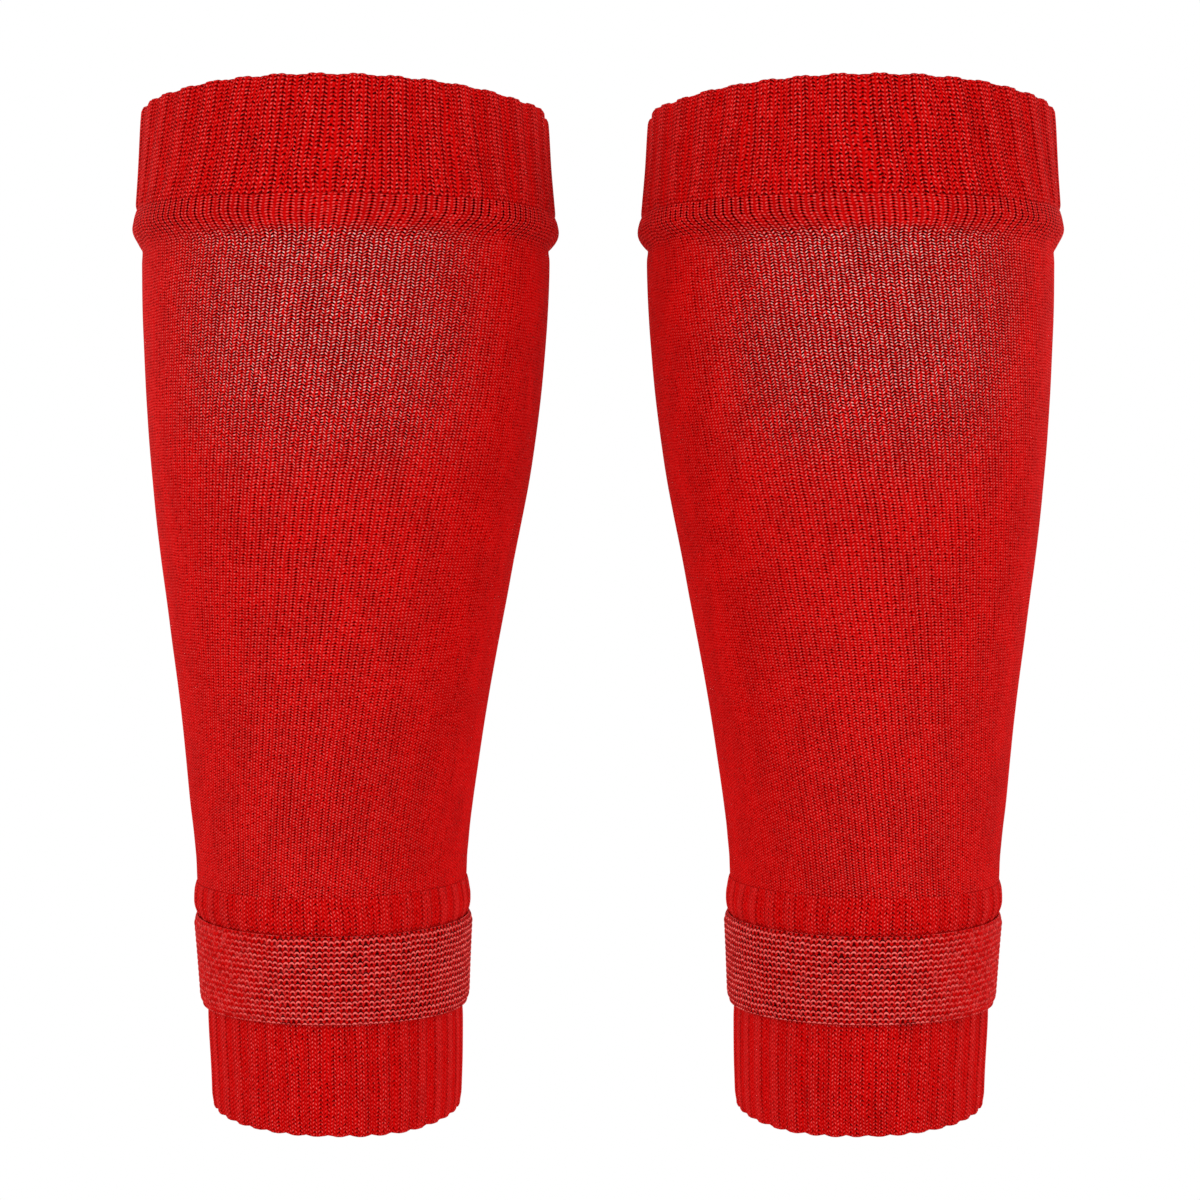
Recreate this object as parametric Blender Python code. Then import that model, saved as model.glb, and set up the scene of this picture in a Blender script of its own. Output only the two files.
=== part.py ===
# Pair of knitted leg sleeves, in the hollow shape they have when worn.
# Heights are counted from the front of the ankle hem, in metres. +X is to the right of the pair, -Y is its front
# and +Z is up. The origin is between the sleeves, at half the height of the calf cuffs that hold the pair up.

import math

import bmesh
import bpy

MM = 0.001

# Overall sizes
SLEEVE_HEIGHT = 300 * MM
HOLD_HEIGHT = 284 * MM
SEAM_GAP = 0.3 * MM
# Room for the flats between the strap's points, which lie a little inside its curve
FLAT_ROOM = 0.2 * MM

# Wall thicknesses
CALF_CUFF_WALL = 2.6 * MM
LEG_WALL = 1.5 * MM
ANKLE_CUFF_WALL = 2.0 * MM
STRAP_WALL = 1.4 * MM

# Ribs of the cuffs: each is two wales proud and two wales sunk
RIBS_ROUND = 36
POINTS_PER_RIB = 4
CALF_RIB_RISE = 0.45 * MM
ANKLE_RIB_RISE = 0.4 * MM
RIM_SCALLOP = 0.35 * MM
HEM_SCALLOP = 0.5 * MM

# Where the pieces meet at the sides, and how far each edge dips or lifts at the front.
# The strap lies a little higher on the outer side of the leg.
CALF_CUFF_BOTTOM = 270.4 * MM
CALF_CUFF_FRONT_DIP = 3.9 * MM
ANKLE_CUFF_TOP = 68.6 * MM
STRAP_BOTTOM = 31.1 * MM
STRAP_BOTTOM_FRONT_LIFT = 1.2 * MM
STRAP_TOP = 58.4 * MM
STRAP_TOP_FRONT_DIP = 0.8 * MM
STRAP_TILT = 0.6 * MM

# The hem is not quite level: it lies lower on the inner side of the leg
HEM_LEVEL = 0.1 * MM
HEM_TILT = 1.3 * MM

# The strap has one ridge for each purl row along it
STRAP_RIDGES = 15
STRAP_RIDGE_RISE = 0.5 * MM

# Points round the smooth pieces
LEG_POINTS = 48
STRAP_POINTS = 36

# Outside of the leg tube: (height, half width, half depth, centre across), in millimetres
LEG_SECTIONS = (
    (68.0, 40.6, 48.4, 81.3),
    (80.0, 41.3, 49.0, 81.3),
    (92.0, 42.7, 50.2, 81.3),
    (104.5, 44.2, 51.3, 81.0),
    (116.5, 45.7, 52.4, 80.7),
    (129.0, 47.5, 53.6, 80.4),
    (141.0, 49.4, 55.1, 80.1),
    (153.5, 51.4, 56.6, 79.7),
    (166.0, 53.4, 58.1, 79.4),
    (178.0, 55.3, 59.6, 78.9),
    (190.5, 57.1, 60.9, 78.3),
    (202.5, 58.5, 61.9, 77.9),
    (215.0, 59.7, 62.5, 77.5),
    (227.5, 60.6, 62.8, 77.2),
    (239.5, 61.3, 62.9, 77.0),
    (253.0, 61.7, 62.9, 76.8),
    (272.0, 61.8, 62.9, 76.8),
)

# The fold under the calf cuff, where the fuller leg tube swells out:
# (distance below the cuff, swell), in millimetres
FOLD_SWELL = (
    (0.0, 1.7),
    (2.0, 2.4),
    (5.0, 2.6),
    (8.0, 1.5),
    (10.2, 0.1),
    (14.0, 0.0),
)
# The share of that swell which is left at the front, where the cloth is gathered more flatly
FOLD_AT_FRONT = 0.45

# Outside of the calf cuff between its ribs: (height, half width, half depth, centre across), in millimetres
CALF_CUFF_SECTIONS = (
    (266.0, 63.2, 64.2, 76.8),
    (272.0, 63.0, 64.1, 76.8),
    (280.0, 62.4, 63.4, 76.9),
    (286.0, 62.0, 63.0, 77.0),
    (296.0, 61.5, 62.6, 77.1),
    (300.0, 61.2, 62.3, 77.1),
)

# Outside of the ankle cuff between its ribs: (height, half width, half depth, centre across), in millimetres
ANKLE_CUFF_SECTIONS = (
    (0.0, 37.2, 45.0, 79.8),
    (12.0, 37.6, 45.4, 79.8),
    (24.0, 38.0, 45.8, 80.1),
    (30.0, 38.1, 45.9, 80.3),
    (59.0, 39.9, 47.6, 80.9),
    (64.0, 40.8, 48.4, 81.1),
    (67.0, 41.0, 48.6, 81.3),
    (69.0, 40.8, 48.4, 81.3),
)


# Reading the tables

def blend(rows, height, column):
    """A table's value at a height or distance, on a smooth curve through its rows."""
    level = height / MM
    last = len(rows) - 1
    if level <= rows[0][0]:
        return rows[0][column] * MM
    if level >= rows[last][0]:
        return rows[last][column] * MM
    low = max(i for i in range(last) if rows[i][0] <= level)
    before = max(low - 1, 0)
    after = min(low + 2, last)
    span = rows[low + 1][0] - rows[low][0]
    share = (level - rows[low][0]) / span
    start_slope = (rows[low + 1][column] - rows[before][column]) / (rows[low + 1][0] - rows[before][0])
    end_slope = (rows[after][column] - rows[low][column]) / (rows[after][0] - rows[low][0])
    start = 2 * share**3 - 3 * share**2 + 1
    end = 3 * share**2 - 2 * share**3
    leave = share**3 - 2 * share**2 + share
    arrive = share**3 - share**2
    value = (
        start * rows[low][column]
        + end * rows[low + 1][column]
        + leave * span * start_slope
        + arrive * span * end_slope
    )
    return value * MM


def facing_front(angle):
    """1 at the front of a sleeve, falling to 0 at its sides, and 0 behind."""
    return max(0.0, -math.sin(angle)) ** 1.5


def rib_wave(angle):
    """1 on the two proud wales of each rib of a cuff, 0 on the two sunk ones."""
    step = round(angle / (2 * math.pi) * RIBS_ROUND * POINTS_PER_RIB)
    return 1.0 if step % POINTS_PER_RIB < POINTS_PER_RIB / 2 else 0.0


# Points on each piece: side is -1 for the left sleeve and 1 for the right

def point_on(rows, side, height, angle, out):
    """A point of the oval that the table gives at this height, moved out."""
    half_width = blend(rows, height, 1) + out
    half_depth = blend(rows, height, 2) + out
    centre = side * blend(rows, height, 3)
    return (
        centre + side * half_width * math.cos(angle),
        half_depth * math.sin(angle),
        height - HOLD_HEIGHT,
    )


def calf_cuff_point(side, share, angle, out, ribbed):
    """share runs from 0 at the cuff's lower edge to 1 at its rim."""
    bottom = CALF_CUFF_BOTTOM - CALF_CUFF_FRONT_DIP * facing_front(angle)
    wave = rib_wave(angle)
    rim = SLEEVE_HEIGHT - RIM_SCALLOP * (1 - wave)
    height = bottom + (rim - bottom) * share
    return point_on(CALF_CUFF_SECTIONS, side, height, angle, out + ribbed * wave * CALF_RIB_RISE)


def leg_point(side, share, angle, out):
    """share runs from 0 at the ankle end to 1 at the calf cuff."""
    bottom = ANKLE_CUFF_TOP + SEAM_GAP
    top = CALF_CUFF_BOTTOM - CALF_CUFF_FRONT_DIP * facing_front(angle) - SEAM_GAP
    height = bottom + (top - bottom) * share
    swell = blend(FOLD_SWELL, top - height, 1) * (1 - (1 - FOLD_AT_FRONT) * facing_front(angle))
    return point_on(LEG_SECTIONS, side, height, angle, out + swell)


def ankle_cuff_point(side, share, angle, out, ribbed):
    """share runs from 0 at the hem to 1 at the seam with the leg tube."""
    wave = rib_wave(angle)
    hem = HEM_LEVEL + HEM_TILT * math.cos(angle) + HEM_SCALLOP * (1 - wave)
    height = hem + (ANKLE_CUFF_TOP - hem) * share
    return point_on(ANKLE_CUFF_SECTIONS, side, height, angle, out + ribbed * wave * ANKLE_RIB_RISE)


def strap_point(side, share, angle, out):
    """The ankle cuff's surface, moved out. share runs from 0 at the strap's lower edge to 1 at its upper edge."""
    tilt = STRAP_TILT * math.cos(angle)
    bottom = STRAP_BOTTOM + tilt + STRAP_BOTTOM_FRONT_LIFT * facing_front(angle)
    top = STRAP_TOP + tilt - STRAP_TOP_FRONT_DIP * facing_front(angle)
    height = bottom + (top - bottom) * share
    clear = ANKLE_RIB_RISE + SEAM_GAP + FLAT_ROOM
    return point_on(ANKLE_CUFF_SECTIONS, side, height, angle, clear + out)


# Making a wall from rings of points

def make_wall(name, material, rings):
    """A closed tube wall through rings of points that run once round its cross-section."""
    form = bmesh.new()
    rows = [[form.verts.new(point) for point in ring] for ring in rings]
    around = len(rows[0])
    for ring, following in zip(rows, rows[1:] + rows[:1]):
        for i in range(around):
            j = (i + 1) % around
            form.faces.new((ring[i], ring[j], following[j], following[i]))
    bmesh.ops.recalc_face_normals(form, faces=form.faces)
    if form.calc_volume(signed=True) < 0:
        bmesh.ops.reverse_faces(form, faces=form.faces)
    for face in form.faces:
        face.smooth = True
    mesh = bpy.data.meshes.new(name)
    form.to_mesh(mesh)
    form.free()
    mesh.materials.append(material)
    piece = bpy.data.objects.new(name, mesh)
    bpy.context.scene.collection.objects.link(piece)
    return piece


def ring_of(count, point):
    """One ring: the point function at each of the angles round the sleeve."""
    return [point(2 * math.pi * i / count) for i in range(count)]


def make_calf_cuff(name, material, side):
    rim_round = 1.0 * MM
    seam_round = 0.5 * MM
    around = RIBS_ROUND * POINTS_PER_RIB
    # (share of the height, distance out, 1 where the ribs show)
    sections = (
        (0.0, -seam_round, 1),
        (0.06, 0.0, 1),
        (0.95, 0.0, 1),
        (1.0, -rim_round, 1),
        (0.96, -CALF_CUFF_WALL, 0),
        (0.0, -CALF_CUFF_WALL, 0),
    )
    rings = [
        ring_of(around, lambda angle: calf_cuff_point(side, share, angle, out, ribbed))
        for share, out, ribbed in sections
    ]
    return make_wall(name, material, rings)


def make_leg_tube(name, material, side):
    # Rings by their share of the height: up the outside, over the fold, and back down the inside
    outside = (0.0, 0.08, 0.16, 0.24, 0.32, 0.4, 0.48, 0.56, 0.65, 0.75, 0.85)
    fold = (0.93, 0.948, 0.961, 0.975, 0.988, 1.0)
    inside = (1.0, 0.975, 0.93, 0.8, 0.6, 0.4, 0.2, 0.0)
    rings = [
        ring_of(LEG_POINTS, lambda angle: leg_point(side, share, angle, 0.0))
        for share in outside + fold
    ]
    rings += [
        ring_of(LEG_POINTS, lambda angle: leg_point(side, share, angle, -LEG_WALL))
        for share in inside
    ]
    return make_wall(name, material, rings)


def make_ankle_cuff(name, material, side):
    hem_round = 0.9 * MM
    seam_round = 0.4 * MM
    around = RIBS_ROUND * POINTS_PER_RIB
    # (share of the height, distance out, 1 where the ribs show)
    sections = (
        (0.0, -hem_round, 1),
        (0.02, 0.0, 1),
        (0.42, 0.0, 1),
        (0.87, 0.0, 1),
        (0.97, 0.0, 1),
        (1.0, -seam_round, 1),
        (1.0, -ANKLE_CUFF_WALL, 0),
        (0.02, -ANKLE_CUFF_WALL, 0),
    )
    rings = [
        ring_of(around, lambda angle: ankle_cuff_point(side, share, angle, out, ribbed))
        for share, out, ribbed in sections
    ]
    return make_wall(name, material, rings)


def make_ankle_strap(name, material, side):
    edge_round = 0.5 * MM
    rings = []
    for i in range(2 * STRAP_RIDGES + 1):
        share = i / (2 * STRAP_RIDGES)
        proud = STRAP_RIDGE_RISE if i % 2 else 0.0
        edge = edge_round if i in (0, 2 * STRAP_RIDGES) else 0.0
        out = STRAP_WALL + proud - edge
        rings.append(ring_of(STRAP_POINTS, lambda angle: strap_point(side, share, angle, out)))
    for share in (1.0, 0.0):
        rings.append(ring_of(STRAP_POINTS, lambda angle: strap_point(side, share, angle, 0.0)))
    return make_wall(name, material, rings)


def make_knit(name, colour, roughness):
    material = bpy.data.materials.new(name)
    material.use_nodes = True
    shader = material.node_tree.nodes["Principled BSDF"]
    shader.inputs["Base Color"].default_value = (*colour, 1.0)
    shader.inputs["Roughness"].default_value = roughness
    return material


# Build

for old in list(bpy.data.objects):
    bpy.data.objects.remove(old, do_unlink=True)

SHADES = {
    "calf_cuff_knit": (0.58, 0.006, 0.006),
    "leg_knit": (0.6, 0.008, 0.007),
    "ankle_cuff_knit": (0.57, 0.006, 0.006),
    "strap_knit": (0.56, 0.012, 0.012),
}
KNITS = {name: make_knit(name, colour, 0.85) for name, colour in SHADES.items()}

for side, word in ((-1, "left"), (1, "right")):
    make_calf_cuff("calf_cuff_" + word, KNITS["calf_cuff_knit"], side)
    make_leg_tube("leg_tube_" + word, KNITS["leg_knit"], side)
    make_ankle_cuff("ankle_cuff_" + word, KNITS["ankle_cuff_knit"], side)
    make_ankle_strap("ankle_strap_" + word, KNITS["strap_knit"], side)
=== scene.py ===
# %% [markdown]
# # A pair of knitted leg sleeves
# Each sleeve is four knitted pieces: a ribbed cuff that grips the calf, a plain tube that tapers down the leg, a
# ribbed cuff round the ankle, and an elastic strap over that cuff. This file dresses the plain solids of the
# part with knitted cloth. Knitting is columns of loops, called wales, and rows of loops, called courses, so
# every piece here is a sheet whose own map counts wales across and courses up, and the stitches are drawn on
# that map.

import math

import bmesh
import bpy
import numpy as np
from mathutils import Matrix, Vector


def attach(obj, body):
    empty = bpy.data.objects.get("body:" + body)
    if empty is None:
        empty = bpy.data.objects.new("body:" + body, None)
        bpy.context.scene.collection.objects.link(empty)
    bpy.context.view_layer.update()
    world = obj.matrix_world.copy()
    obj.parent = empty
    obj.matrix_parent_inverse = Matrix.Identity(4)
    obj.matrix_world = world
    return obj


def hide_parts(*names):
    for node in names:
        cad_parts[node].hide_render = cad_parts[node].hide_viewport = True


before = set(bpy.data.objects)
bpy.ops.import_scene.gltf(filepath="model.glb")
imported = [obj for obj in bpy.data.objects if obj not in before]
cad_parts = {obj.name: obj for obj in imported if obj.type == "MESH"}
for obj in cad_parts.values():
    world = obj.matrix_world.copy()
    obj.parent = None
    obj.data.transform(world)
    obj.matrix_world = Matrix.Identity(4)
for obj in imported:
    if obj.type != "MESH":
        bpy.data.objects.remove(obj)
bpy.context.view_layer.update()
MM = 0.001
print("nodes:", ", ".join(sorted(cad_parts)))

# %% [markdown]
# ## The sizes of a sleeve
# The cloth has to lie where the solids are, so the sizes are the same as theirs. Heights are counted from the
# ankle hem. Each table gives the oval that the cloth follows at a few heights, and a smooth curve runs through
# its rows. The alternative is to trace the solids point by point, but a table can be read and changed.

# %% The named sizes
SLEEVE_HEIGHT = 300 * MM
HOLD_HEIGHT = 284 * MM
SEAM_GAP = 0.05 * MM
STRAP_CLEAR = 0.5 * MM

CALF_CUFF_WALL = 2.6 * MM
LEG_WALL = 1.5 * MM
ANKLE_CUFF_WALL = 2.0 * MM
STRAP_WALL = 1.4 * MM

CALF_CUFF_BOTTOM = 270.4 * MM
CALF_CUFF_FRONT_DIP = 3.9 * MM
ANKLE_CUFF_TOP = 68.6 * MM
STRAP_BOTTOM = 31.1 * MM
STRAP_BOTTOM_FRONT_LIFT = 1.2 * MM
STRAP_TOP = 58.4 * MM
STRAP_TOP_FRONT_DIP = 0.8 * MM
STRAP_TILT = 0.6 * MM

# The hem is not quite level: it lies lower on the inner side of the leg
HEM_LEVEL = 0.1 * MM
HEM_TILT = 1.3 * MM

# %% The tables of sections
# Outside of the leg tube: (height, half width, half depth, centre across), in millimetres
LEG_SECTIONS = (
    (68.0, 40.6, 48.4, 81.3),
    (80.0, 41.3, 49.0, 81.3),
    (92.0, 42.7, 50.2, 81.3),
    (104.5, 44.2, 51.3, 81.0),
    (116.5, 45.7, 52.4, 80.7),
    (129.0, 47.5, 53.6, 80.4),
    (141.0, 49.4, 55.1, 80.1),
    (153.5, 51.4, 56.6, 79.7),
    (166.0, 53.4, 58.1, 79.4),
    (178.0, 55.3, 59.6, 78.9),
    (190.5, 57.1, 60.9, 78.3),
    (202.5, 58.5, 61.9, 77.9),
    (215.0, 59.7, 62.5, 77.5),
    (227.5, 60.6, 62.8, 77.2),
    (239.5, 61.3, 62.9, 77.0),
    (253.0, 61.7, 62.9, 76.8),
    (272.0, 61.8, 62.9, 76.8),
)

# The fold under the calf cuff: (distance below the cuff, swell), in millimetres
FOLD_SWELL = (
    (0.0, 1.7),
    (2.0, 2.4),
    (5.0, 2.6),
    (8.0, 1.5),
    (10.2, 0.1),
    (14.0, 0.0),
)
FOLD_AT_FRONT = 0.45
FOLD_LOWER_OUTSIDE = 0.13

# Outside of the calf cuff between its ribs, in the same columns
CALF_CUFF_SECTIONS = (
    (266.0, 63.2, 64.2, 76.8),
    (272.0, 63.0, 64.1, 76.8),
    (280.0, 62.4, 63.4, 76.9),
    (286.0, 62.0, 63.0, 77.0),
    (296.0, 61.5, 62.6, 77.1),
    (300.0, 61.2, 62.3, 77.1),
)

# Outside of the ankle cuff between its ribs, in the same columns
ANKLE_CUFF_SECTIONS = (
    (0.0, 37.2, 45.0, 79.8),
    (12.0, 37.6, 45.4, 79.8),
    (24.0, 38.0, 45.8, 80.1),
    (30.0, 38.1, 45.9, 80.3),
    (59.0, 39.9, 47.6, 80.9),
    (64.0, 40.8, 48.4, 81.1),
    (67.0, 41.0, 48.6, 81.3),
    (69.0, 40.8, 48.4, 81.3),
)

# %% Read a table on a smooth curve
def along(rows, heights, column):
    """The values of one column of a table, in metres, on a smooth curve through its rows."""
    table = np.array(rows)
    level = np.clip(np.asarray(heights) / MM, table[0, 0], table[-1, 0])
    at, value = table[:, 0], table[:, column]
    low = np.clip(np.searchsorted(at, level, side="right") - 1, 0, len(at) - 2)
    before = np.maximum(low - 1, 0)
    after = np.minimum(low + 2, len(at) - 1)
    span = at[low + 1] - at[low]
    share = (level - at[low]) / span
    slope_in = (value[low + 1] - value[before]) / (at[low + 1] - at[before])
    slope_out = (value[after] - value[low]) / (at[after] - at[low])
    curve = (
        (2 * share**3 - 3 * share**2 + 1) * value[low]
        + (3 * share**2 - 2 * share**3) * value[low + 1]
        + (share**3 - 2 * share**2 + share) * span * slope_in
        + (share**3 - share**2) * span * slope_out
    )
    return curve * MM


def ease(value, start, end):
    """0 before start, 1 after end, and a soft step between them."""
    share = np.clip((value - start) / (end - start), 0, 1)
    return share * share * (3 - 2 * share)


print("half width of the leg tube at mid height:", float(along(LEG_SECTIONS, 0.15, 1)))

# %% [markdown]
# ## The camera, the light and the floor
# The rim at the top and the hem at the bottom curve the same way from the camera's eye level, which puts the
# camera level, at half the height of the sleeves. How deep those curves are gives its distance. The light is
# plain and soft, as in a photo studio: a pale room all round, two large soft boxes in front and two weaker ones
# behind, so that the stitches cast a little shade from every side. The room is made with the World shader,
# because a white wall close behind would get in the way of the other views.

# %% Camera
EYE_HEIGHT = 153.5 * MM
CAMERA_ASIDE = 0.55 * MM
CAMERA_DISTANCE = 0.664
CAMERA_LENS = 64.9
SENSOR_WIDTH = 36
NEAREST_SEEN = 0.01

camera = bpy.data.objects.new("camera", bpy.data.cameras.new("camera"))
camera.data.lens = CAMERA_LENS
camera.data.sensor_width = SENSOR_WIDTH
camera.data.clip_start = NEAREST_SEEN
camera.location = (CAMERA_ASIDE, -CAMERA_DISTANCE, EYE_HEIGHT - HOLD_HEIGHT)
camera.rotation_euler = (math.radians(90), 0, 0)
bpy.context.scene.collection.objects.link(camera)
bpy.context.scene.camera = camera

# %% Pale room
ROOM_LIGHT = 0.7
BACKDROP_BRIGHTNESS = 1.0

world = bpy.data.worlds.new("pale_room")
world.use_nodes = True
bpy.context.scene.world = world
room = world.node_tree
room.nodes.clear()
seen = room.nodes.new("ShaderNodeBackground")
seen.inputs["Color"].default_value = (1, 1, 1, 1)
seen.inputs["Strength"].default_value = BACKDROP_BRIGHTNESS
lighting = room.nodes.new("ShaderNodeBackground")
lighting.inputs["Color"].default_value = (1, 0.99, 0.98, 1)
lighting.inputs["Strength"].default_value = ROOM_LIGHT
ray = room.nodes.new("ShaderNodeLightPath")
choose = room.nodes.new("ShaderNodeMixShader")
end = room.nodes.new("ShaderNodeOutputWorld")
room.links.new(ray.outputs["Is Camera Ray"], choose.inputs[0])
room.links.new(lighting.outputs[0], choose.inputs[1])
room.links.new(seen.outputs[0], choose.inputs[2])
room.links.new(choose.outputs[0], end.inputs["Surface"])
bpy.context.scene.view_settings.view_transform = "Standard"
bpy.context.scene.view_settings.look = "None"

# %% Soft boxes
# (name, place in metres, size, power in watts)
SOFT_BOXES = (
    ("key_left", (-1.0, -1.0, 0.35), 0.7, 6.5),
    ("fill_right", (1.05, -0.95, 0.13), 0.8, 5.5),
    ("back_left", (-1.0, 1.0, 0.25), 0.8, 5.0),
    ("back_right", (1.0, 1.0, 0.25), 0.8, 5.0),
)
centre_of_pair = Vector((0.0, 0.0, SLEEVE_HEIGHT / 2 - HOLD_HEIGHT))

for name, place, size, power in SOFT_BOXES:
    lamp = bpy.data.objects.new(name, bpy.data.lights.new(name, "AREA"))
    lamp.data.size = size
    lamp.data.energy = power
    lamp.location = place
    lamp.rotation_euler = (centre_of_pair - lamp.location).to_track_quat("-Z", "Y").to_euler()
    bpy.context.scene.collection.objects.link(lamp)

# %% Floor
FLOOR_LEVEL = -1.0
FLOOR_RADIUS = 2.2

shape = bmesh.new()
bmesh.ops.create_circle(shape, cap_ends=True, segments=96, radius=FLOOR_RADIUS)
bmesh.ops.translate(shape, verts=shape.verts, vec=(0, 0, FLOOR_LEVEL))
floor_mesh = bpy.data.meshes.new("floor")
shape.to_mesh(floor_mesh)
shape.free()
floor = bpy.data.objects.new("floor", floor_mesh)
bpy.context.scene.collection.objects.link(floor)
floor_paint = bpy.data.materials.new("pale_floor")
floor_paint.use_nodes = True
floor_look = floor_paint.node_tree.nodes["Principled BSDF"].inputs
floor_look["Base Color"].default_value = (0.9, 0.9, 0.9, 1)
floor_look["Roughness"].default_value = 0.9
floor_mesh.materials.append(floor_paint)

# %% [markdown]
# ## From a flat sheet to a tube with a wall
# A knitted tube is one sheet, joined to itself. The model is made in the same way: a flat grid, whose columns
# follow the wales, is wrapped round the leg, and its rows run up the outside, over the rim, down the inside and
# back to the start, so that the wall is one closed skin. Solidify could give the wall its thickness instead,
# but it would copy every fine rib to the inside, where nobody sees it.

# %% Rows that run once round a wall
# How many steps a rounded edge takes, and how long the way over it is, counted in walls
EDGE_TURNS = 4
EDGE_WAY = 1.5


def wall_rows(outside, inside, height, wall, top_round, bottom_round):
    """Rows round the lower edge, up the outside, over the top and down the inside, as four columns.

    They are the share of the height, the depth into the wall from 0 to 1, the rise of a rounded edge, and the
    way travelled over the cloth, counted in heights from the lower edge of the outside.
    """
    bend = EDGE_WAY * wall / height
    turn = [math.pi * i / EDGE_TURNS for i in range(1, EDGE_TURNS)]
    rows = [(0.0, 1.0, 0.0, -bend)]
    for angle in turn:
        way = bend * (angle / math.pi - 1)
        rows.append((0.0, (1 + math.cos(angle)) / 2, -bottom_round * math.sin(angle), way))
    rows += [(value, 0.0, 0.0, value) for value in outside]
    for angle in turn:
        way = 1 + bend * angle / math.pi
        rows.append((1.0, (1 - math.cos(angle)) / 2, top_round * math.sin(angle), way))
    rows += [(value, 1.0, 0.0, 2 + bend - value) for value in reversed(inside)]
    return np.array(rows)


# %% Crisp corners
def keep_edges_crisp(mesh, row, rows):
    """Where a wall ends flat, its corners are marked sharp, or smooth shading would draw a dark line there."""
    outside = np.flatnonzero(rows[:, 1] == 0)
    edges = ((0, outside[0]), (1, outside[-1]))
    corners = [corner for share, corner in edges if not rows[rows[:, 0] == share, 2].any()]
    ends = np.empty(len(mesh.edges) * 2, np.int32)
    mesh.edges.foreach_get("vertices", ends)
    first, last = row[ends.reshape(-1, 2)].T
    sharp = mesh.attributes.new("sharp_edge", "BOOLEAN", "EDGE")
    sharp.data.foreach_set("value", (first == last) & np.isin(first, corners))


# %% Wrap a flat grid into a closed wall
MERGE_WITHIN = 0.005 * MM


def stitch_at(around, stitches):
    """The number of the stitch, counted so that the seam of the sheet runs up the middle of one."""
    return around * stitches + 0.5


def knit_wall(name, side, columns, rows, place, stitches, courses, shades):
    """A flat grid, wrapped by place, and with a map that counts stitches and courses.

    place(side, around, share, depth, rise, travel) gives the points. shades(around, share) gives the values
    that the material reads, such as how far the loops stand apart.
    """
    sheet = bmesh.new()
    sheet.loops.layers.uv.new("knit")
    bmesh.ops.create_grid(sheet, x_segments=columns, y_segments=len(rows) - 1, size=0.5, calc_uvs=True)
    mesh = bpy.data.meshes.new(name)
    sheet.to_mesh(mesh)
    sheet.free()

    flat = np.empty(len(mesh.vertices) * 3, np.float32)
    mesh.vertices.foreach_get("co", flat)
    flat = flat.reshape(-1, 3)
    around = np.round((flat[:, 0] + 0.5) * columns) / columns
    row = np.round((flat[:, 1] + 0.5) * (len(rows) - 1)).astype(int)
    share, depth, rise, travel = rows[row].T
    points = place(side, around, share, depth, rise, travel)
    mesh.vertices.foreach_set("co", np.ascontiguousarray(points, np.float32).ravel())
    for shade, values in shades(around, share).items():
        layer = mesh.attributes.new(shade, "FLOAT", "POINT")
        layer.data.foreach_set("value", np.ascontiguousarray(values, np.float32))

    corner = np.empty(len(mesh.loops), np.int32)
    mesh.loops.foreach_get("vertex_index", corner)
    stitch_map = np.column_stack((stitch_at(around[corner], stitches), travel[corner] * courses))
    mesh.uv_layers["knit"].data.foreach_set("uv", np.ascontiguousarray(stitch_map, np.float32).ravel())
    keep_edges_crisp(mesh, row, rows)

    wall = bmesh.new()
    wall.from_mesh(mesh)
    bmesh.ops.remove_doubles(wall, verts=wall.verts, dist=MERGE_WITHIN)
    bmesh.ops.recalc_face_normals(wall, faces=wall.faces)
    if wall.calc_volume(signed=True) < 0:
        bmesh.ops.reverse_faces(wall, faces=wall.faces)
    for face in wall.faces:
        face.smooth = True
    open_edges = sum(not edge.is_manifold for edge in wall.edges)
    wall.to_mesh(mesh)
    wall.free()
    piece = bpy.data.objects.new(name, mesh)
    bpy.context.scene.collection.objects.link(piece)
    print(name, len(mesh.polygons), "faces,", open_edges, "open edges")
    return piece


def both_sides(name, *settings):
    """The left piece and the right piece of one kind."""
    return [knit_wall(name + word, side, *settings) for side, word in ((-1, "left"), (1, "right"))]


# %% Angles and ovals
# Angles are measured from the front of a sleeve, and grow towards its outer side
FRONT_NARROWS = 1.5


def from_front(around):
    """The angle of each column: the seam of the sheet is at the back, and the front is half way round."""
    return 2 * math.pi * (around - 0.5)


def away_from(angle, degrees):
    """How far each angle lies from one that is given in degrees, either way round."""
    return (angle - math.radians(degrees) + math.pi) % (2 * math.pi) - math.pi


def facing_front(angle):
    """1 at the front, falling to 0 at the sides, and 0 behind."""
    return np.clip(np.cos(angle), 0, None) ** FRONT_NARROWS


def calf_seam(angle):
    """Height of the seam between the calf cuff and the leg tube."""
    return CALF_CUFF_BOTTOM - CALF_CUFF_FRONT_DIP * facing_front(angle)


def strap_edges(angle):
    """Heights of the lower and upper edge of the strap, which lies a little higher on the outer side."""
    tilt = STRAP_TILT * np.sin(angle)
    front = facing_front(angle)
    return STRAP_BOTTOM + tilt + STRAP_BOTTOM_FRONT_LIFT * front, STRAP_TOP + tilt - STRAP_TOP_FRONT_DIP * front


def oval(rows, side, height, angle, out, rise):
    """Points of the oval that a table gives at each height, moved out. side is -1 for the left sleeve."""
    half_width = along(rows, height, 1) + out
    half_depth = along(rows, height, 2) + out
    x = side * (along(rows, height, 3) + half_width * np.sin(angle))
    y = -half_depth * np.cos(angle)
    return np.column_stack((x, y, height + rise - HOLD_HEIGHT))


# %% [markdown]
# ## Ribs
# Both cuffs are two by two rib: two wales that stand proud, then two that sink behind them, 36 times round. A
# rib is springy, so no two are quite alike. Each gets its own small change of height and place, drawn once from
# seeded random numbers. The wave could be a bump in the material alone, but then the rim of the cuff would be a
# smooth circle, and on a real cuff it is scalloped.

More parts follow.
